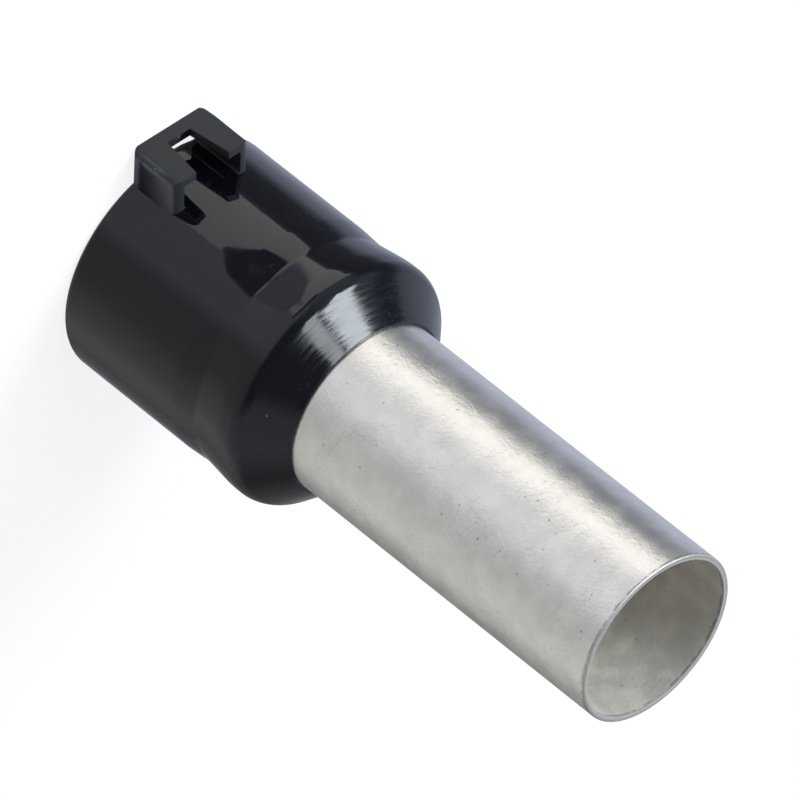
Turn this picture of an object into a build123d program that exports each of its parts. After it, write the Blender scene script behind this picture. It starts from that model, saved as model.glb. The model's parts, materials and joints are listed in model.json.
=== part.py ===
# A wire ferrule for a 25 square millimetre stranded conductor: a thin tinned copper sleeve, and
# a black moulded collar that guides the wire in and carries a small holder for a marker.
# Millimetres. The Z axis is the ferrule's own axis. z = 0 is the collar's rear face, where the
# wire goes in, and the sleeve's tip is at the top. The marker holder is on the -Y side.
import os
from math import radians, tan

from build123d import *

os.makedirs("parts", exist_ok=True)

# Sleeve
sleeve_bore = 7.3
sleeve_wall = 0.25
sleeve_exposed = 16.75
sleeve_edge = 0.06
flare_angle = 40
flare_bend = 0.4
flare_clearance = 0.1

# Collar, from its rear face to its nose
collar_length = 11.73
collar_bore = 10.0
collar_wall = 0.53
neck_depth = 0.08
neck_length = 1.22
neck_to_head = 1.57
head_rise = 0.125
head_length = 0.84
nose_length = 1.59
nose_wall = 0.12
grip_length = 0.27
rear_edge = 0.28
entry_chamfer = 0.15
neck_start_round = 2.2
neck_round = 1.0
shoulder_round = 3.0
crest_round = 0.85

# Marker holder on the collar: two side walls, a bar at the rear and two lips that run forward
holder_width = 4.0
holder_height = 1.42
holder_length = 2.65
holder_wall = 0.5
holder_plate = 0.4
holder_edge = 0.3
holder_root_round = 0.12
holder_inner_round = 0.12
holder_end_edge = 0.08
bar_length = 0.65
lip_gap_rear = 1.2
lip_gap_front = 1.75
lip_root_round = 0.12

# Sizes that follow from those above
sleeve_inner = sleeve_bore / 2
sleeve_outer = sleeve_inner + sleeve_wall
total_length = collar_length + sleeve_exposed
bore_radius = collar_bore / 2
body_radius = bore_radius + collar_wall
neck_radius = body_radius - neck_depth
head_radius = body_radius + head_rise
crest_z = collar_length - nose_length
shoulder_z = crest_z - head_length
neck_z = shoulder_z - neck_to_head
neck_start_z = neck_z - neck_length
flare_start_z = collar_length - grip_length
flare_radius = bore_radius - flare_clearance
flare_end_z = flare_start_z - (flare_radius - sleeve_outer) / tan(radians(flare_angle))
seat_z = flare_start_z - (bore_radius - sleeve_outer) / tan(radians(flare_angle))
holder_top = body_radius + holder_height
holder_root = bore_radius + collar_wall / 2
channel_width = holder_width - 2 * holder_wall
channel_top = holder_top - holder_plate


def sleeve_part():
    # One bent line, the sleeve's outer side, is given the sheet's thickness and turned round Z
    with BuildPart() as sleeve:
        with BuildSketch(Plane.XZ) as wall:
            with BuildLine():
                outer = FilletPolyline(
                    (sleeve_outer, total_length),
                    (sleeve_outer, flare_start_z),
                    (flare_radius, flare_end_z),
                    radius=flare_bend,
                )
                offset(outer, amount=sleeve_wall, side=Side.RIGHT)
            make_face()
            tip = wall.vertices().group_by(Axis.Y)[-1].sort_by(Axis.X)[-1]
            fillet(tip, sleeve_edge)
        revolve(axis=Axis.Z)
    return sleeve.part


def collar_shell():
    # The turned form of the collar: the body, a shallow neck, the head and the nose outside,
    # and inside the wire's bore, the seat of the sleeve's flare and the grip on the sleeve
    profile = [
        (bore_radius, entry_chamfer, 0),
        (bore_radius + entry_chamfer, 0, 0),
        (body_radius, 0, rear_edge),
        (body_radius, neck_start_z, neck_start_round),
        (neck_radius, neck_z, neck_round),
        (head_radius, shoulder_z, shoulder_round),
        (head_radius, crest_z, crest_round),
        (sleeve_outer + nose_wall, collar_length, 0),
        (sleeve_outer, collar_length, 0),
        (sleeve_outer, flare_start_z, flare_bend),
        (bore_radius, seat_z, 0),
    ]
    with BuildPart() as shell:
        with BuildSketch(Plane.XZ):
            with BuildLine():
                FilletPolyline(
                    [(x, z) for x, z, _ in profile],
                    radius=[corner for _, _, corner in profile],
                    close=True,
                )
            make_face()
        revolve(axis=Axis.Z)
    return shell.part


def marker_holder():
    # Moulded with the collar: its walls are rooted in the middle of the collar's own wall
    with BuildPart() as holder:
        with BuildSketch(Plane.XY):
            with Locations((0, -holder_top / 2)):
                Rectangle(holder_width, holder_top)
            Circle(holder_root, mode=Mode.SUBTRACT)
        extrude(amount=holder_length)
        # Its two long top edges and its four upright corners have the largest rounding
        corner_edges = holder.edges().filter_by(Axis.Y) + holder.edges().filter_by(Axis.Z)
        fillet(corner_edges.sort_by(Axis.Y)[:6], holder_edge)
        # Every edge of its two ends is rounded but the last ones in Y, at the roots
        end_edges = holder.edges().filter_by(Plane.XY)
        fillet(end_edges.sort_by(Axis.Y)[:-2], holder_end_edge)

        # The channel that a marker slides along, open at both ends, with the body as its floor
        with BuildSketch(Plane.XY) as channel:
            with Locations((0, -channel_top / 2)):
                Rectangle(channel_width, channel_top)
            Circle(body_radius, mode=Mode.SUBTRACT)
            fillet(channel.vertices().group_by(Axis.Y)[0], holder_inner_round)
            fillet(channel.vertices().group_by(Axis.Y)[-1], holder_root_round)
        extrude(amount=holder_length, mode=Mode.SUBTRACT)

        # The opening between the two lips, a little wider at its mouth
        with BuildSketch(Plane.XZ.offset(channel_top)) as opening:
            with BuildLine():
                Polyline(
                    (-lip_gap_rear / 2, bar_length),
                    (lip_gap_rear / 2, bar_length),
                    (lip_gap_front / 2, holder_length),
                    (-lip_gap_front / 2, holder_length),
                    close=True,
                )
            make_face()
            fillet(opening.vertices().group_by(Axis.Y)[0], lip_root_round)
        extrude(amount=holder_plate, mode=Mode.SUBTRACT)
        lip_edges = holder.faces().sort_by(Axis.Y)[0].edges()
        lip_edges = lip_edges.filter_by_position(Axis.X, -lip_gap_front / 2, lip_gap_front / 2)
        fillet(lip_edges.filter_by_position(Axis.Z, bar_length, holder_length), holder_end_edge)
    return holder.part


def collar_part():
    with BuildPart() as collar:
        add(collar_shell())
        add(marker_holder())
    return collar.part


for name, part in (("sleeve", sleeve_part()), ("collar", collar_part())):
    part.label = name
    export_step(part, f"parts/{name}.step")
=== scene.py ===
# %% [markdown]
# # A wire ferrule with a marker holder
# A wire ferrule is a thin tinned copper sleeve that gathers the strands of a cable's end, with a
# black moulded collar that guides the cable in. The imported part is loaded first, as a fixed frame:
# its pieces give the main sizes, and its record gives the bore and the sleeve's outside. Blender
# works in metres here, so every size below is written in millimetres and multiplied by mm.

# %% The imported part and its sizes
import json
import math

import bmesh
import bpy
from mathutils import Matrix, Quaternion, Vector


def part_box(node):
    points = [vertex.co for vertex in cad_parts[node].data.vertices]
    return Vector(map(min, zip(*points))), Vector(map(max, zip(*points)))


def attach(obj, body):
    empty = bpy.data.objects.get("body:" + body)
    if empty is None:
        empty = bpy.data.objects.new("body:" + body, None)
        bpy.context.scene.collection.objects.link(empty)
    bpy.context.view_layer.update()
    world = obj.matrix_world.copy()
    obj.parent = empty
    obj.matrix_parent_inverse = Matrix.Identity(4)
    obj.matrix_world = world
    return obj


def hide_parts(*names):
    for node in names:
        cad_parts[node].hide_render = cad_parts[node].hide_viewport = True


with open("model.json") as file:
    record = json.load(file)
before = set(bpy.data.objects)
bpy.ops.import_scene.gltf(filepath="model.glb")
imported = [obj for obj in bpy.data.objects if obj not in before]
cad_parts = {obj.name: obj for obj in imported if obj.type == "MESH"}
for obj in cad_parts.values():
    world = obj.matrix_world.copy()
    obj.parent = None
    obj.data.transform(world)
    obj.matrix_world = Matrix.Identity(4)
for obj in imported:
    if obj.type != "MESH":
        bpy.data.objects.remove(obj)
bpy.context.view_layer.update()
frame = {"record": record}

mm = 0.001
mounts = {mount["name"]: mount for mount in frame["record"]["mounts"]}
bore_radius = mounts["wire_entry"]["dims"]["r_mm"] * mm
sleeve_inner = mounts["sleeve_bore"]["dims"]["r_mm"] * mm
sleeve_outer = mounts["sleeve_outside"]["dims"]["r_mm"] * mm
collar_low, collar_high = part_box("collar")
sleeve_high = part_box("sleeve")[1]
collar_length = collar_high.z
total_length = sleeve_high.z
head_radius = collar_high.x
holder_top = -collar_low.y
print("collar", round(collar_length / mm, 3), "of", round(total_length / mm, 3), "mm")

# %% [markdown]
# ## Camera
# The photograph was taken with a long lens, so lines along the ferrule stay almost parallel. The
# part stands on its collar here, while in the photograph it lies on its side, so the camera is
# turned about its own line of sight until the collar is at the upper left and the sleeve's tip at
# the lower right. An angle from the holder's side, a height, a distance and this roll say where
# the camera is more plainly than a matrix would.

# %% Camera
view_azimuth = math.radians(34.4)
view_elevation = math.radians(30.12)
view_roll = math.radians(128.265)
view_distance = 561.24 * mm
looked_at = Vector((-0.570, -1.164, 13.140)) * mm


def direction(azimuth, elevation):
    """Points from the ferrule outwards: azimuth runs from the holder's side, -Y, towards +X."""
    level = math.cos(elevation)
    return Vector((math.sin(azimuth) * level, -math.cos(azimuth) * level, math.sin(elevation)))


camera = bpy.data.objects.new("camera", bpy.data.cameras.new("camera"))
camera.data.sensor_width = 36.0
camera.data.lens = 640.09
outwards = direction(view_azimuth, view_elevation)
camera.location = looked_at + outwards * view_distance
camera.rotation_mode = "QUATERNION"
camera.rotation_quaternion = outwards.to_track_quat("Z", "Y") @ Quaternion((0, 0, 1), view_roll)
bpy.context.scene.collection.objects.link(camera)
bpy.context.scene.camera = camera
bpy.context.scene.view_settings.view_transform = "Standard"
print("camera at", [round(x, 4) for x in camera.location])

# %% [markdown]
# ## Sums with nodes
# Materials are networks of nodes. Written one node at a time they are hard to read, so a small
# class wraps a socket and lets Python's own signs make the Math nodes: 1 - mask is one node. Any
# other node comes from one method, which takes the node's type, its settings and the values or
# links of its sockets.


# %% The class that wraps a socket, and the one that makes nodes
class Value:
    """A socket that can stand in a sum, where each sign makes a Math node."""

    def __init__(self, nodes, socket):
        self.nodes = nodes
        self.socket = socket

    def __add__(self, other):
        return self.nodes.math("ADD", self, other)

    def __sub__(self, other):
        return self.nodes.math("SUBTRACT", self, other)

    def __mul__(self, other):
        return self.nodes.math("MULTIPLY", self, other)

    def __truediv__(self, other):
        return self.nodes.math("DIVIDE", self, other)

    def __radd__(self, other):
        return self.nodes.math("ADD", other, self)

    def __rsub__(self, other):
        return self.nodes.math("SUBTRACT", other, self)

    def __rmul__(self, other):
        return self.nodes.math("MULTIPLY", other, self)


class Nodes:
    """Makes and links the nodes of a world or a material."""

    def __init__(self, owner):
        owner.use_nodes = True
        self.tree = owner.node_tree
        self.tree.nodes.clear()

    def node(self, kind, settings=None, inputs=None, output=0):
        """Makes a node with these settings and these values or links, and gives back one output."""
        made = self.tree.nodes.new(kind)
        for name, value in (settings or {}).items():
            setattr(made, name, value)
        for name, value in (inputs or {}).items():
            if isinstance(value, Value):
                self.tree.links.new(value.socket, made.inputs[name])
            else:
                made.inputs[name].default_value = value
        return Value(self, made.outputs[output]) if made.outputs else made

    def math(self, operation, *values):
        return self.node("ShaderNodeMath", {"operation": operation}, dict(enumerate(values)))

    def smooth(self, value, low, high):
        """0 below low, 1 above high, and an even S between them."""
        settings = {"interpolation_type": "SMOOTHSTEP"}
        return self.node("ShaderNodeMapRange", settings, {0: value, 1: low, 2: high})

    def mix(self, factor, first, second):
        """A colour between two others."""
        inputs = {0: factor, 6: first, 7: second}
        return self.node("ShaderNodeMix", {"data_type": "RGBA"}, inputs, 2)


# %% [markdown]
# ## The studio
# Polished plastic and tin show mostly what they reflect, and their reflections in the photograph
# tell of a large soft lamp, a dark gap beside it and a pale room round the rest. The room is
# painted in the world's own nodes, as two rings of even panels, one below the horizon and one above
# it. A panel has the azimuths of its two sides, counted from the marker holder's side, and a
# colour, where 1 is white. Between two panels the brightness changes evenly, and the two rings
# blend between two elevations.

# %% The panels of the room
room_gain = 2.2
lower_ring_ends = -4
upper_ring_starts = 14
lower_panels = [
    ("dark back", -180, -165, (0.22, 0.22, 0.23)),
    ("blue wall", -120, -94, (0.53, 0.57, 0.73)),
    ("dark gap", -80, -52, (0.14, 0.15, 0.18)),
    ("behind the lamp", -38, 2, (0.60, 0.64, 0.72)),
    ("open side", 5, 44, (0.83, 0.85, 0.93)),
    ("grey side", 60, 94, (0.49, 0.50, 0.52)),
    ("pale side", 116, 146, (0.62, 0.64, 0.64)),
    ("dark back", 170, 180, (0.26, 0.26, 0.27)),
]
upper_panels = [
    ("dark back", -180, -165, (0.18, 0.18, 0.19)),
    ("blue wall", -130, -91, (0.72, 0.77, 0.92)),
    ("dark gap", -85, -73, (0.16, 0.20, 0.27)),
    ("lamp's glow", -62, -22, (0.55, 0.63, 0.75)),
    ("dark ceiling", 18, 90, (0.16, 0.17, 0.20)),
    ("pale side", 107, 140, (0.56, 0.59, 0.64)),
    ("dark back", 166, 180, (0.18, 0.18, 0.19)),
]

studio = bpy.data.worlds.new("studio")
studio.cycles.sampling_method = "NONE"
bpy.context.scene.world = studio
room = Nodes(studio)


def dimmed(colour):
    """A colour as a share of the world's strength, because a node's colour ends at 1."""
    return [channel / room_gain for channel in colour]


def ring(name, turn, panels):
    """A colour ramp for one ring, whose 0 to 1 is the azimuth from -180 to 180."""
    ramp = room.node("ShaderNodeValToRGB", {}, {0: turn})
    stops = ramp.socket.node.color_ramp.elements
    while len(stops) < 2 * len(panels):
        stops.new(1)
    sides = [(side, colour) for _, start, end, colour in panels for side in (start, end)]
    for stop, (side, colour) in zip(stops, sides):
        stop.position = (side + 180) / 360
        stop.color = (*dimmed(colour), 1)
    print(name, "ring:", ", ".join(panel[0] for panel in panels))
    return ramp


way = room.node("ShaderNodeSeparateXYZ", {}, {0: room.node("ShaderNodeTexCoord")})
way_x, way_y, way_z = (Value(room, socket) for socket in way.socket.node.outputs)
azimuth = room.math("ARCTAN2", way_x, 0 - way_y) * (360 / math.tau)
elevation = room.math("ARCSINE", way_z) * (360 / math.tau)
turn = azimuth / 360 + 0.5
upper_share = room.smooth(elevation, lower_ring_ends, upper_ring_starts)
walls = room.mix(upper_share, ring("lower", turn, lower_panels), ring("upper", turn, upper_panels))

# %% [markdown]
# Three more things stand in the room. Far down the pale table shows. The soft lamp that the collar
# reflects as one long bright patch has a straight left side and a round right one, is brighter on
# its left and fades out below. Over its right half hangs a dark cover, which the dip in the
# collar's neck reflects as a dark patch beside the bright one. Flat cards lit by real lamps would
# do the same, but each would need placing in space, and a painted patch needs only its angles.


# %% The table, the soft lamp and the cover
def between(value, low, high, softness):
    """1 from low to high, falling to 0 over that softness on either side."""
    return room.smooth(value, low - softness, low) * (1 - room.smooth(value, high, high + softness))


def painted(under, mask, colour):
    """The room so far, with a colour over it where the mask is 1."""
    return room.mix(mask, under, (*dimmed(colour), 1))


table_starts = -48
table_full = -62
table_mask = room.smooth(elevation, table_starts, table_full)
with_table = painted(walls, table_mask, (0.60, 0.60, 0.61))

lamp_left = -46
lamp_width = 51
lamp_middle = -31
lamp_half_height = 14.5
fade_starts = -36
fade_full = -46
right_starts = -24
right_full = 4
across = (azimuth - lamp_left) / lamp_width
along = (elevation - lamp_middle) / lamp_half_height
softness = 0.05 + room.smooth(elevation, fade_starts, fade_full) * 0.45
rounded = room.smooth(across * across + along * along, 1 + softness, 1 - softness)
lamp_mask = rounded * room.smooth(azimuth, lamp_left - 1.5, lamp_left)
right_mask = lamp_mask * room.smooth(azimuth, right_starts, right_full)
with_lamp = painted(with_table, lamp_mask, (1.64, 1.60, 1.57))
with_lamp = painted(with_lamp, right_mask, (1.50, 1.51, 1.56))

cover_left = -11
cover_right = 9
cover_foot = -26.7
cover_top = -17.5
cover_across = between(azimuth, cover_left, cover_right, 5)
cover_along = between(elevation, cover_foot, cover_top, 1)
cover_mask = cover_across * cover_along
with_cover = painted(with_lamp, cover_mask, (0.17, 0.17, 0.19))
print("the soft lamp is", lamp_width, "degrees wide and", 2 * lamp_half_height, "high")

# %% [markdown]
# The camera's own rays see plain white instead of the room, as in a photograph cut out on white. A
# Light Path node tells them from the rest. A node's colour ends at 1, so the room's colours are
# dimmed and its strength makes up for that.

# %% The world's output
light_path = room.node("ShaderNodeLightPath")
seen = Value(room, light_path.socket.node.outputs["Is Camera Ray"])
colour = room.mix(seen, with_cover, (1, 1, 1, 1))
strength = room_gain - seen * (room_gain - 1)
background = room.node("ShaderNodeBackground", {}, {"Color": colour, "Strength": strength})
room.node("ShaderNodeOutputWorld", {}, {"Surface": background})
print("the world has", len(room.tree.nodes), "nodes")

# %% [markdown]
# ## Floor
# The floor is a plain pale sheet. To the camera it is as white as the room, and it keeps a faint
# shadow, because near the ferrule a part of what the camera sees of it is still its own lit
# surface. That part ends a few centimetres away, so that no horizon shows. Reflections see the room
# through it, as they do through the clear sheet of a photographer's table.

# %% Floor
floor_half_width = 1.5
shadow_share = 0.15
fade_start = 20 * mm
fade_end = 80 * mm

floor_mesh = bmesh.new()
bmesh.ops.create_grid(floor_mesh, x_segments=1, y_segments=1, size=floor_half_width)
floor = bpy.data.objects.new("floor", bpy.data.meshes.new("floor"))
floor_mesh.to_mesh(floor.data)
floor_mesh.free()
bpy.context.scene.collection.objects.link(floor)

pale_floor = bpy.data.materials.new("pale_floor")
floor.data.materials.append(pale_floor)
pale = Nodes(pale_floor)
path = pale.node("ShaderNodeLightPath").socket.node.outputs
to_camera = Value(pale, path["Is Camera Ray"])
glossy = Value(pale, path["Is Glossy Ray"])
through_glass = Value(pale, path["Is Transmission Ray"])
spot = pale.node("ShaderNodeTexCoord", output="Object")
distance = pale.node("ShaderNodeVectorMath", {"operation": "LENGTH"}, {0: spot}, "Value")
own_share = shadow_share * (1 - pale.smooth(distance, fade_start, fade_end))
sheet = pale.node("ShaderNodeBsdfDiffuse", {}, {"Color": (0.9, 0.9, 0.9, 1)})
white = pale.node("ShaderNodeEmission", {}, {"Color": (1, 1, 1, 1), "Strength": 1.0})
clear = pale.node("ShaderNodeBsdfTransparent")
shown = pale.node("ShaderNodeMixShader", {}, {0: to_camera * (1 - own_share), 1: sheet, 2: white})
hidden = pale.math("MAXIMUM", glossy, through_glass)
surface = pale.node("ShaderNodeMixShader", {}, {0: hidden, 1: shown, 2: clear})
pale.node("ShaderNodeOutputMaterial", {}, {"Surface": surface})
print("floor of", 2 * floor_half_width, "m")

# %% [markdown]
# ## Lamps
# Two flat lamps hang over the holder's side, with a weaker one between them and a little behind.
# The nose of the collar reflects them as the two bright patches by the sleeve. A lamp's brightness
# is its power over its area and pi, so the power is worked out from the brightness that the patches
# show. The lamps are real ones and not painted, because they also cast the shadow on the floor.


# %% Lamps
def lamp(name, azimuth, elevation, width, height, distance, level, colour):
    """A lamp seen from the ferrule in that direction, width and height degrees large."""
    light = bpy.data.lights.new(name, "AREA")
    light.shape = "RECTANGLE"
    light.size = 2 * distance * math.tan(math.radians(width) / 2)
    light.size_y = 2 * distance * math.tan(math.radians(height) / 2)
    light.energy = level * math.pi * light.size * light.size_y
    light.color = colour
    made = bpy.data.objects.new(name, light)
    outwards = direction(math.radians(azimuth), math.radians(elevation))
    made.location = outwards * distance
    made.rotation_mode = "QUATERNION"
    made.rotation_quaternion = outwards.to_track_quat("Z", "Y")
    made.visible_camera = False
    bpy.context.scene.collection.objects.link(made)
    print(name, round(light.energy, 2), "W")


lamp_distance = 0.6
rear_distance = 0.66
lamp("key_lamp", -37, 48, 20, 36, lamp_distance, 15.0, (0.92, 0.99, 1.04))
lamp("between_lamps", -13, 56, 12, 26, rear_distance, 0.8, (0.85, 0.98, 1.15))
lamp("side_lamp", -1, 56, 11, 26, lamp_distance, 7.4, (0.92, 0.99, 1.04))

# %% [markdown]
# ## Outlines
# Every piece of the ferrule starts as a flat outline with only its corners. Each corner is rounded
# by a bevel of that one point, before the outline is turned or drawn out: it takes the rounding's
# radius, and the length that it cuts from each side follows from how sharply the outline bends
# there. That keeps the sizes as they would stand in a drawing.


# %% Rounded outlines
def round_corner(bm, corner, before, after, radius, segments=8):
    """Replaces one corner of an outline with an arc of that radius."""
    bend = (corner.co - before).angle(after - corner.co)
    cut = radius * math.tan(bend / 2)
    bmesh.ops.bevel(
        bm, geom=[corner], offset=cut, offset_type="OFFSET", segments=segments,
        profile=0.5, affect="VERTICES", material=-1,
    )


def rounded_outline(bm, corners):
    """Draws a closed outline from corners of (place, rounding)."""
    verts = [bm.verts.new(place) for place, _ in corners]
    for first, second in zip(verts, verts[1:] + verts[:1]):
        bm.edges.new((first, second))
    for i, (_, rounding) in enumerate(corners):
        if rounding:
            after = Vector(corners[(i + 1) % len(corners)][0])
            round_corner(bm, verts[i], Vector(corners[i - 1][0]), after, rounding)


def finished(name, bm, sharp_angle=40):
    """Turns a bmesh into an object, smooth but for its sharp edges."""
    for face in bm.faces:
        face.smooth = True
    for edge in bm.edges:
        edge.smooth = edge.calc_face_angle(0) < math.radians(sharp_angle)
    piece = bpy.data.objects.new(name, bpy.data.meshes.new(name))
    bm.to_mesh(piece.data)
    bm.free()
    bpy.context.scene.collection.objects.link(piece)
    size = [round(side / mm, 2) for side in piece.dimensions]
    print(name, len(piece.data.polygons), "faces", size, "mm")
    return piece


# %% [markdown]
# ## Turned pieces
# The collar's body and the sleeve are both round about one axis, so each is an outline turned once
# round it. A cylinder cut with loops would give the same shape, but one outline shows all its
# heights and radii at a glance.


# %% Turning an outline
def turned(name, outline, steps, longest_edge):
    """Makes a piece from corners of (radius, height, rounding), turned once round Z."""
    bm = bmesh.new()
    rounded_outline(bm, [((radius, 0, height), rounding) for radius, height, rounding in outline])
    for edge in bm.edges[:]:
        cuts = int(edge.calc_length() / longest_edge)
        if cuts:
            bmesh.ops.subdivide_edges(bm, edges=[edge], cuts=cuts)
    bmesh.ops.spin(
        bm, geom=bm.verts[:] + bm.edges[:], cent=(0, 0, 0), axis=(0, 0, 1),
        angle=math.tau, steps=steps, use_merge=True,
    )
    bmesh.ops.remove_doubles(bm, verts=bm.verts[:], dist=0.0001 * mm)
    bmesh.ops.recalc_face_normals(bm, faces=bm.faces[:])
    return finished(name, bm)


# %% [markdown]
# ## Collar body
# The real collar is one moulding of black polypropylene: a straight body for the cable, a shallow
# neck, a slightly wider head and a cone, the nose, that ends on the sleeve. The neck falls by less
# than a tenth of a millimetre and rises by a fifth, which a straight edge would hardly find, but
# polished plastic shows it at once in its reflections. The outline is cut into short edges and
# turned in many steps, because the next cell bends the surface.

# %% Collar body
collar_wall = 0.53 * mm
body_radius = bore_radius + collar_wall
neck_radius = body_radius - 0.08 * mm
crest_z = collar_length - 1.59 * mm
shoulder_z = crest_z - 0.84 * mm
neck_z = shoulder_z - 1.57 * mm
neck_start_z = neck_z - 1.22 * mm
entry_chamfer = 0.15 * mm
nose_wall = 0.12 * mm
flare_start_z = collar_length - 0.27 * mm
flare_tilt = math.radians(40)
flare_bend = 0.4 * mm
seat_z = flare_start_z - (bore_radius - sleeve_outer) / math.tan(flare_tilt)

collar_outline = [
    (bore_radius, entry_chamfer, 0),
    (bore_radius + entry_chamfer, 0, 0.03 * mm),
    (body_radius, 0, 0.28 * mm),
    (body_radius, neck_start_z, 2.2 * mm),
    (neck_radius, neck_z, 1.0 * mm),
    (head_radius, shoulder_z, 3.0 * mm),
    (head_radius, crest_z, 0.85 * mm),
    (sleeve_outer + nose_wall, collar_length, 0.03 * mm),
    (sleeve_outer, collar_length, 0),
    (sleeve_outer, flare_start_z, flare_bend),
    (bore_radius, seat_z, 0),
]
collar_body = turned("collar_body", collar_outline, steps=256, longest_edge=0.12 * mm)

# %% [markdown]
# As the moulding cooled, the wall sank a little beside the marker holder, where the plastic is
# thickest. The mark is only an eighth of a millimetre deep, but it bends the lamp's reflection. It
# has the form of a very flat tent turned inside out, with a corner towards the holder: each point
# of the outside moves towards the axis, most in the middle and not at all from the edge outwards.

# %% Sink mark
sink_turn = 18.5
sink_half_turn = 15.5
sink_z = 7.75 * mm
sink_half_length = 2.4 * mm
sink_depth = 0.125 * mm
sink_rounding = 0.15
sink_steepness = 1.25


def rounded_size(value):
    """The size of a number without its sign, with the kink at 0 rounded."""
    return math.hypot(value, sink_rounding) - sink_rounding


def sunk(place):
    """How much nearer to the axis a point of the collar's outside lies."""
    turn = math.degrees(math.atan2(place.x, -place.y))
    across = rounded_size((turn - sink_turn) / sink_half_turn)
    along = rounded_size((place.z - sink_z) / sink_half_length)
    return sink_depth * max(0, 1 - across - along) ** sink_steepness


moved = 0
for vert in collar_body.data.vertices:
    radius = vert.co.xy.length
    depth = sunk(vert.co)
    if depth and radius > bore_radius + collar_wall / 2:
        vert.co.xy *= 1 - depth / radius
        moved += 1
print(moved, "points sunk")

# %% [markdown]
# ## Sleeve
# The sleeve is thin copper sheet rolled to a tube and plated with tin. Its rear end is flared
# inside the collar, so that strands find their way in and the collar can't slide off. Its wall is
# only a quarter of a millimetre, so the outline goes up the outside and back down the inside, and
# the flare's two sides are worked out from one angle.

# %% Sleeve
sleeve_wall = sleeve_outer - sleeve_inner
flare_radius = bore_radius - 0.1 * mm
flare_end_z = flare_start_z - (flare_radius - sleeve_outer) / math.tan(flare_tilt)
flare_lip = Vector((math.cos(flare_tilt), 0, math.sin(flare_tilt))) * sleeve_wall
inner_bend_z = flare_start_z - sleeve_wall * math.tan(flare_tilt / 2)

sleeve_outline = [
    (sleeve_outer, total_length, 0.06 * mm),
    (sleeve_outer, flare_start_z, flare_bend),
    (flare_radius, flare_end_z, 0),
    (flare_radius - flare_lip.x, flare_end_z - flare_lip.z, 0),
    (sleeve_inner, inner_bend_z, flare_bend + sleeve_wall),
    (sleeve_inner, total_length, 0.04 * mm),
]
sleeve = turned("tinned_sleeve", sleeve_outline, steps=192, longest_edge=0.5 * mm)

# %% [markdown]
# ## Marker holder
# A small frame is moulded on the collar: two walls, a bar across the rear and two lips that run
# forward, so that a marker slides in under them from the sleeve's side. Seen along the axis, half
# of it is a hook, the channel's floor with the wall and its lip, and the bar beside it. That half
# section is drawn out along the axis, first with the bar and then without it, and mirrored.
# Cutting the channel and the window out of a block would need three cuts, and their corners would
# be harder to round.

# %% Marker holder: its half section
holder_half = 2.0 * mm
holder_length = 2.65 * mm
bar_length = 0.65 * mm
lip_gap_rear = 0.6 * mm
lip_gap_front = 0.875 * mm
channel_half = holder_half - 0.5 * mm
channel_top = holder_top - 0.4 * mm
foot_radius = bore_radius + collar_wall / 2
floor_corner = 0.75 * mm
inner_round = 0.12 * mm


def height_on(radius, x):
    """Where a circle round the axis is, on the holder's side, at a distance x from the middle."""
    return -math.sqrt(radius**2 - x**2)


holder_section = [
    ((lip_gap_rear, -holder_top, 0), 0),
    ((holder_half, -holder_top, 0), 0),
    ((holder_half, height_on(foot_radius, holder_half), 0), 0),
    ((0, -foot_radius, 0), 0),
    ((0, -body_radius, 0), 0),
    ((floor_corner, height_on(body_radius, floor_corner), 0), 0),
    ((channel_half, height_on(body_radius, channel_half), 0), inner_round),
    ((channel_half, -channel_top, 0), inner_round),
    ((lip_gap_rear, -channel_top, 0), 0),
]
holder = bmesh.new()
rounded_outline(holder, holder_section)
hook = bmesh.ops.contextual_create(holder, geom=holder.edges[:])["faces"]
print("half section of", len(hook[0].verts), "points")

# %% [markdown]
# The section's inner end is drawn out sideways to the middle, which gives the bar, and then both
# go up by the bar's length and the hook alone goes on to the front. There the lips stand a little
# further apart than at the rear. The flat sides that this leaves in pieces are joined at the end.
# The rear is a ring round the channel, which can't be one face, so it keeps the two edges that cross
# it in the middle. They are named, because Blender would otherwise keep others in some runs.


# %% Marker holder: drawn out and mirrored
same_place = 0.001 * mm


def near(first, second):
    return abs(first - second) < same_place


def all_at(verts, x):
    return all(near(vert.co.x, x) for vert in verts)


def rear_middle(edge):
    """The edges that cross the rear's ring in the middle, one in the bar and one at the foot."""
    return all_at(edge.verts, 0) and all(near(vert.co.z, 0) for vert in edge.verts)


def move_new(bm, made, way):
    """Moves the new points that an operator made."""
    verts = [item for item in made if isinstance(item, bmesh.types.BMVert)]
    bmesh.ops.translate(bm, verts=verts, vec=way)


def drawn_out(bm, faces, rise):
    """Extrudes faces along the axis and gives back the new faces at their end."""
    made = bmesh.ops.extrude_face_region(bm, geom=faces)["geom"]
    move_new(bm, made, (0, 0, rise))
    return [item for item in made if isinstance(item, bmesh.types.BMFace)]


inner_end = [edge for edge in holder.edges if all_at(edge.verts, lip_gap_rear)]
middle = bmesh.ops.extrude_edge_only(holder, edges=inner_end)["geom"]
move_new(holder, middle, (-lip_gap_rear, 0, 0))

bar_end = drawn_out(holder, holder.faces[:], bar_length)
hook_end = max(bar_end, key=lambda face: face.calc_area())
front = drawn_out(holder, [hook_end], holder_length - bar_length)
lip_ends = [vert for vert in front[0].verts if near(vert.co.x, lip_gap_rear)]
bmesh.ops.translate(holder, verts=lip_ends, vec=(lip_gap_front - lip_gap_rear, 0, 0))

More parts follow.
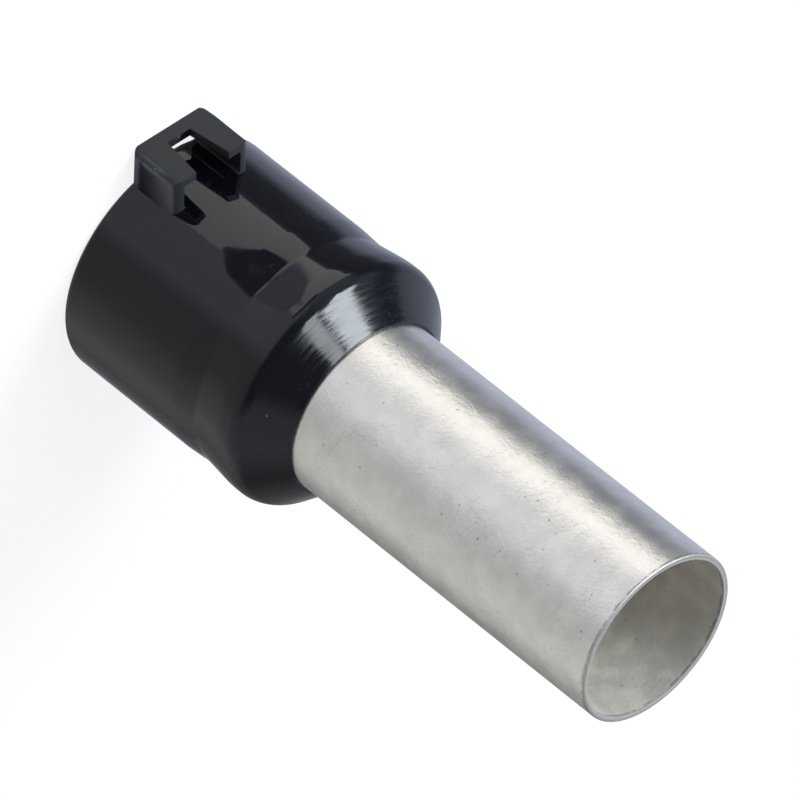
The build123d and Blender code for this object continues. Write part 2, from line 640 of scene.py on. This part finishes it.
cut = [face for face in holder.faces if all_at(face.verts, 0)]
bmesh.ops.delete(holder, geom=cut, context="FACES_ONLY")
half = holder.verts[:] + holder.edges[:] + holder.faces[:]
bmesh.ops.mirror(holder, geom=half, axis="X", merge_dist=same_place)
bmesh.ops.remove_doubles(holder, verts=holder.verts[:], dist=same_place)
bmesh.ops.recalc_face_normals(holder, faces=holder.faces[:])
joined = [edge for edge in holder.edges if not rear_middle(edge)]
bmesh.ops.dissolve_limit(holder, angle_limit=math.radians(1), verts=holder.verts[:], edges=joined)
print("holder of", len(holder.faces), "faces")

# %% [markdown]
# Moulded edges are never sharp. The long edges of the top and the upright corners have the largest
# rounding, the window's corners a smaller one and the rest hardly any. A bevel takes one radius,
# so each kind of edge is chosen by where it lies and bevelled on its own. A Bevel modifier would
# need the same choice, as weights on the edges.


# %% Marker holder: its rounded edges
window_round = 0.12 * mm
corner_round = 0.36 * mm
small_round = 0.08 * mm


def bevel_edges(bm, chosen, radius, segments):
    """Rounds the edges for which chosen, asked about an edge's two ends, says yes."""
    edges = [edge for edge in bm.edges if chosen(*(vert.co for vert in edge.verts))]
    bmesh.ops.bevel(
        bm, geom=edges, offset=radius, offset_type="OFFSET", segments=segments,
        profile=0.5, affect="EDGES", clamp_overlap=True, material=-1,
    )
    print(len(edges), "edges rounded by", round(radius / mm, 2), "mm")


def at_end(place):
    return near(place.z, 0) or near(place.z, holder_length)


def window_corner(a, b):
    """The two corners of the window by the bar, as lines through the plate."""
    at_bar = near(a.z, bar_length) and near(b.z, bar_length)
    return at_bar and near(abs(a.x), lip_gap_rear) and near(a.x, b.x)


def outer_corner(a, b):
    """The two long edges of the top, and the four upright corners."""
    at_side = near(abs(a.x), holder_half) and near(a.x, b.x)
    on_top = near(a.y, -holder_top) and near(b.y, -holder_top)
    upright = at_end(a) and near(a.z, b.z)
    return at_side and (on_top or upright)


def end_edge(a, b):
    """The edges of the two ends, but for those that lie on the collar's body."""
    above = ((a + b) / 2).xy.length > body_radius + 0.02 * mm
    return above and near(a.z, b.z) and at_end(a)


def opening_edge(a, b):
    """The edges of the opening between the lips, on the plate's top and under it."""
    level = near(a.y, b.y) and (near(a.y, -holder_top) or near(a.y, -channel_top))
    between_lips = max(abs(a.x), abs(b.x)) < lip_gap_front + same_place
    return level and between_lips and min(a.z, b.z) > bar_length - window_round - same_place


def small_edge(a, b):
    return end_edge(a, b) or opening_edge(a, b)


bevel_edges(holder, window_corner, radius=window_round, segments=4)
bevel_edges(holder, outer_corner, radius=corner_round, segments=6)
bevel_edges(holder, small_edge, radius=small_round, segments=3)
bmesh.ops.recalc_face_normals(holder, faces=holder.faces[:])
marker_holder = finished("marker_holder", holder)
marker_holder.modifiers.new("flat_faces_stay_flat", "WEIGHTED_NORMAL").keep_sharp = True

# %% [markdown]
# ## Patterns for the finishes
# Polished plastic and bright tin look real by what disturbs their shine: soft blotches, pits, dust
# and fine scratches. All of them are made here from the place on the piece in millimetres, so a
# size in the lists below is a size on the real object. A blotch is plain noise, a fleck is the
# middle of a Voronoi cell, and a scratch is noise drawn out along one direction.


# %% Patterns
class Finish(Nodes):
    """A material's nodes, with the patterns that the finishes share."""

    def __init__(self, name):
        self.material = bpy.data.materials.new(name)
        super().__init__(self.material)
        in_metres = self.node("ShaderNodeTexCoord", output="Object")
        scaled = {0: in_metres, "Scale": 1 / mm}
        self.place = self.node("ShaderNodeVectorMath", {"operation": "SCALE"}, scaled)
        split = self.node("ShaderNodeSeparateXYZ", {}, {0: self.place}).socket.node.outputs
        self.x, self.y, self.z = (Value(self, socket) for socket in split)
        self.radius = self.math("SQRT", self.x * self.x + self.y * self.y)

    def noise(self, size, detail=2.0, place=None, seed=0.0):
        """Soft noise from 0 to 1 whose blotches are about size millimetres across."""
        inputs = {"Vector": place or self.place, "W": seed, "Scale": 1 / size, "Detail": detail}
        return self.node("ShaderNodeTexNoise", {"noise_dimensions": "4D"}, inputs)

    def drawn(self, turned, stretch):
        """The place, turned by three angles in degrees and drawn out along its new first axis."""
        inputs = {
            "Vector": self.place,
            "Rotation": [math.radians(angle) for angle in turned],
            "Scale": (stretch, 1, 1),
        }
        return self.node("ShaderNodeMapping", {"vector_type": "TEXTURE"}, inputs)

    def scratches(self, width, length, turned, share, seed):
        """Thin lines of about that width and length: 1 in their middle and 0 beside them."""
        lines = self.noise(width * 2, 0.0, self.drawn(turned, length / width), seed)
        return self.smooth(lines, 1 - share, 1.06 - share)

    def flecks(self, spacing, size, seed):
        """Round spots in some of the cells that are spacing apart."""
        inputs = {"Vector": self.place, "W": seed, "Scale": 1 / spacing, "Randomness": 1.0}
        cells = self.node("ShaderNodeTexVoronoi", {"voronoi_dimensions": "4D"}, inputs)
        return self.smooth(cells, size / spacing, 0.6 * size / spacing)

    def bump(self, height, depth, under=None):
        """A change of the surface's normal from a height between 0 and 1 of depth millimetres."""
        inputs = {"Height": height, "Distance": depth * mm, "Strength": 1.0}
        if under:
            inputs["Normal"] = under
        return self.node("ShaderNodeBump", {}, inputs)

    def finish(self, inputs):
        shader = self.node("ShaderNodeBsdfPrincipled", {}, inputs)
        self.node("ShaderNodeOutputMaterial", {}, {"Surface": shader})


# %% [markdown]
# ## Black plastic
# The collar is polished in its mould, so it is nearly a black mirror: its own colour hardly shows,
# and the reflection carries everything. A very slight unevenness bends the reflections, as on any
# moulding, and on the nose the rings that the mould was turned with show as very fine lines.
# Handling leaves faint smudges, a few hairlines and specks of dust, which stand out most on black.

# %% Black plastic
black = (0.0018, 0.0022, 0.0036, 1)
dust_grey = (0.22, 0.22, 0.23, 1)

plastic = Finish("polished_plastic")
smudges = plastic.smooth(plastic.noise(1.6, 4.0, seed=3.1), 0.52, 0.75)
handled = plastic.smooth(plastic.noise(2.6, 1.0, seed=8.4), 0.55, 0.65)
first_hairlines = plastic.scratches(0.03, 1.2, (0, 70, 100), 0.30, 1.0)
second_hairlines = plastic.scratches(0.03, 0.8, (10, 30, 35), 0.30, 6.0)
hairlines = plastic.math("MAXIMUM", first_hairlines, second_hairlines) * handled
dust = plastic.flecks(0.9, 0.035, 2.0)
unevenness = plastic.noise(1.4, 1.0, seed=5.0)
crest = crest_z / mm
nose = plastic.smooth(plastic.z, crest, crest + 0.3)
flattened = {"Vector": plastic.place, "Scale": (0.09, 0.09, 1)}
along_rings = plastic.node("ShaderNodeMapping", {}, flattened)
tool_marks = plastic.smooth(plastic.noise(0.09, 2.0, along_rings), 0.4, 0.65) * nose

surface = plastic.bump(unevenness, 0.006)
surface = plastic.bump(hairlines, 0.002, surface)
surface = plastic.bump(tool_marks, 0.0016, surface)
surface = plastic.bump(dust, 0.01, surface)
handling = smudges * 0.05 + hairlines * 0.1 + dust * 0.5
plastic.finish({
    "Base Color": plastic.mix(dust, black, dust_grey),
    "Roughness": 0.05 + nose * 0.05 + tool_marks * 0.1 + handling,
    "IOR": 1.46,
    "Normal": surface,
})
print("black plastic of", len(plastic.tree.nodes), "nodes")

# %% [markdown]
# The marker holder came out of a part of the mould that wasn't polished, so the same plastic is
# satin there: rougher, with a fine grain, and a little lighter because it scatters more light. Its
# two outer sides are painted lighter still, as painted light that stands in for what they reflect.

# %% Satin plastic of the holder
satin_black = (0.016, 0.0162, 0.017, 1)
# Painted light: the lighter grey of the holder's two outer sides.
painted_light_side_grey = (0.060, 0.062, 0.068, 1)
speck_grey = (0.25, 0.25, 0.25, 1)

satin = Finish("satin_plastic")
grain = satin.noise(0.06, 2.0, seed=1.0)
blotches = satin.noise(0.7, 3.0, seed=4.0)
specks = satin.flecks(0.7, 0.03, 6.0)
surface = satin.bump(grain, 0.0012)
surface = satin.bump(blotches, 0.006, surface)
# Painted light: the two outer sides are lighter, standing in for the light they reflect.
sides = satin.smooth(satin.math("ABSOLUTE", satin.x), 1.9, 1.98)
colour = satin.mix(sides, satin_black, painted_light_side_grey)
satin.finish({
    "Base Color": satin.mix(specks, colour, speck_grey),
    "Roughness": 0.50 + blotches * 0.14,
    "IOR": 1.44,
    "Normal": surface,
})
print("satin plastic of", len(satin.tree.nodes), "nodes")

# %% [markdown]
# ## Tinned copper
# Tin that was plated and then rolled is soft and bright but not a mirror. Its shine is blotchy at
# the scale of a millimetre, it has small dark pits, and it is covered with short fine scratches
# from lying among others of its kind. Inside it is rougher, and its colour is a little darker. The
# cut at the tip is rough, with a darker patchy band just under it.

# %% Tinned copper
dull_tin = (0.765, 0.747, 0.697, 1)
clear_tin = (0.845, 0.827, 0.77, 1)
streak_tin = (0.62, 0.62, 0.60, 1)
scratch_tin = (0.5, 0.49, 0.46, 1)
inner_dull_tin = (0.63, 0.602, 0.545, 1)
inner_clear_tin = (0.72, 0.69, 0.628, 1)
cut_metal = (0.52, 0.505, 0.47, 1)
band_grey = (0.25, 0.25, 0.23, 1)

tin = Finish("bright_tin")
blotches = tin.smooth(tin.noise(0.9, 3.0, seed=2.0), 0.36, 0.66)
fine_blotches = tin.noise(0.3, 2.0, seed=7.0)
grain = tin.noise(0.11, 3.0, seed=9.0)
pits = tin.flecks(0.40, 0.075, 1.0) * tin.smooth(grain, 0.38, 0.54)
first_scratches = tin.scratches(0.03, 0.6, (10, 50, 20), 0.34, 2.0)
second_scratches = tin.scratches(0.03, 0.5, (80, 15, 60), 0.34, 5.0)
worn = tin.smooth(tin.noise(2.2, 2.0, seed=11.0), 0.4, 0.65)
scratches = tin.math("MAXIMUM", first_scratches, second_scratches) * worn
streaks = tin.smooth(tin.noise(0.22, 3.0, seed=13.0), 0.6, 0.8)
inside = tin.smooth(tin.radius, sleeve_outer / mm - 0.1, sleeve_outer / mm - 0.2)
tip = total_length / mm
cut_end = tin.smooth(tin.z, tip - 0.08, tip - 0.05)
# A darker, patchy band just under the cut at the tip.
under_cut = tin.smooth(tin.z, tip - 0.17, tip - 0.12) * (1 - cut_end)
under_cut_band = under_cut * tin.smooth(fine_blotches, 0.35, 0.6)

surface = tin.bump(grain, 0.011)
surface = tin.bump(fine_blotches, 0.010, surface)
surface = tin.bump(blotches, 0.006, surface)
surface = tin.bump(scratches, 0.0025, surface)

outer_colour = tin.mix(blotches, dull_tin, clear_tin)
outer_colour = tin.mix(streaks * 0.5, outer_colour, streak_tin)
outer_colour = tin.mix(scratches * 0.3, outer_colour, scratch_tin)
inner_colour = tin.mix(blotches, inner_dull_tin, inner_clear_tin)
colour = tin.mix(inside, outer_colour, inner_colour)
colour = tin.mix(cut_end, colour, cut_metal)
dark_marks = tin.math("MAXIMUM", pits * 0.6, under_cut_band * 0.7)
rougher_places = inside * 0.40 + cut_end * 0.2 + pits * 0.1
tin.finish({
    "Base Color": tin.mix(dark_marks, colour, band_grey),
    "Metallic": 1.0,
    "Roughness": 0.31 + fine_blotches * 0.06 + blotches * 0.04 + rougher_places,
    "Normal": surface,
})
print("tinned copper of", len(tin.tree.nodes), "nodes")

# %% [markdown]
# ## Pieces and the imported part
# The three pieces get their finishes. Nothing on a ferrule moves, so all ride on its one body. Each
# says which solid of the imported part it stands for, so that solid is hidden, and which of the
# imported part's materials it is made of. The collar's body and its marker holder are one moulding,
# but two pieces here, because the mould was polished for one and not for the other.

# %% Pieces and their finishes
for piece, finish, slot, node in (
    (collar_body, plastic, "black_plastic", "collar"),
    (marker_holder, satin, "black_plastic", "collar"),
    (sleeve, tin, "tinned_copper", "sleeve"),
):
    piece.data.materials.append(finish.material)
    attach(piece, "root")
    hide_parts(node)
    print(piece.name, "has the finish", finish.material.name, "and stands for", node)
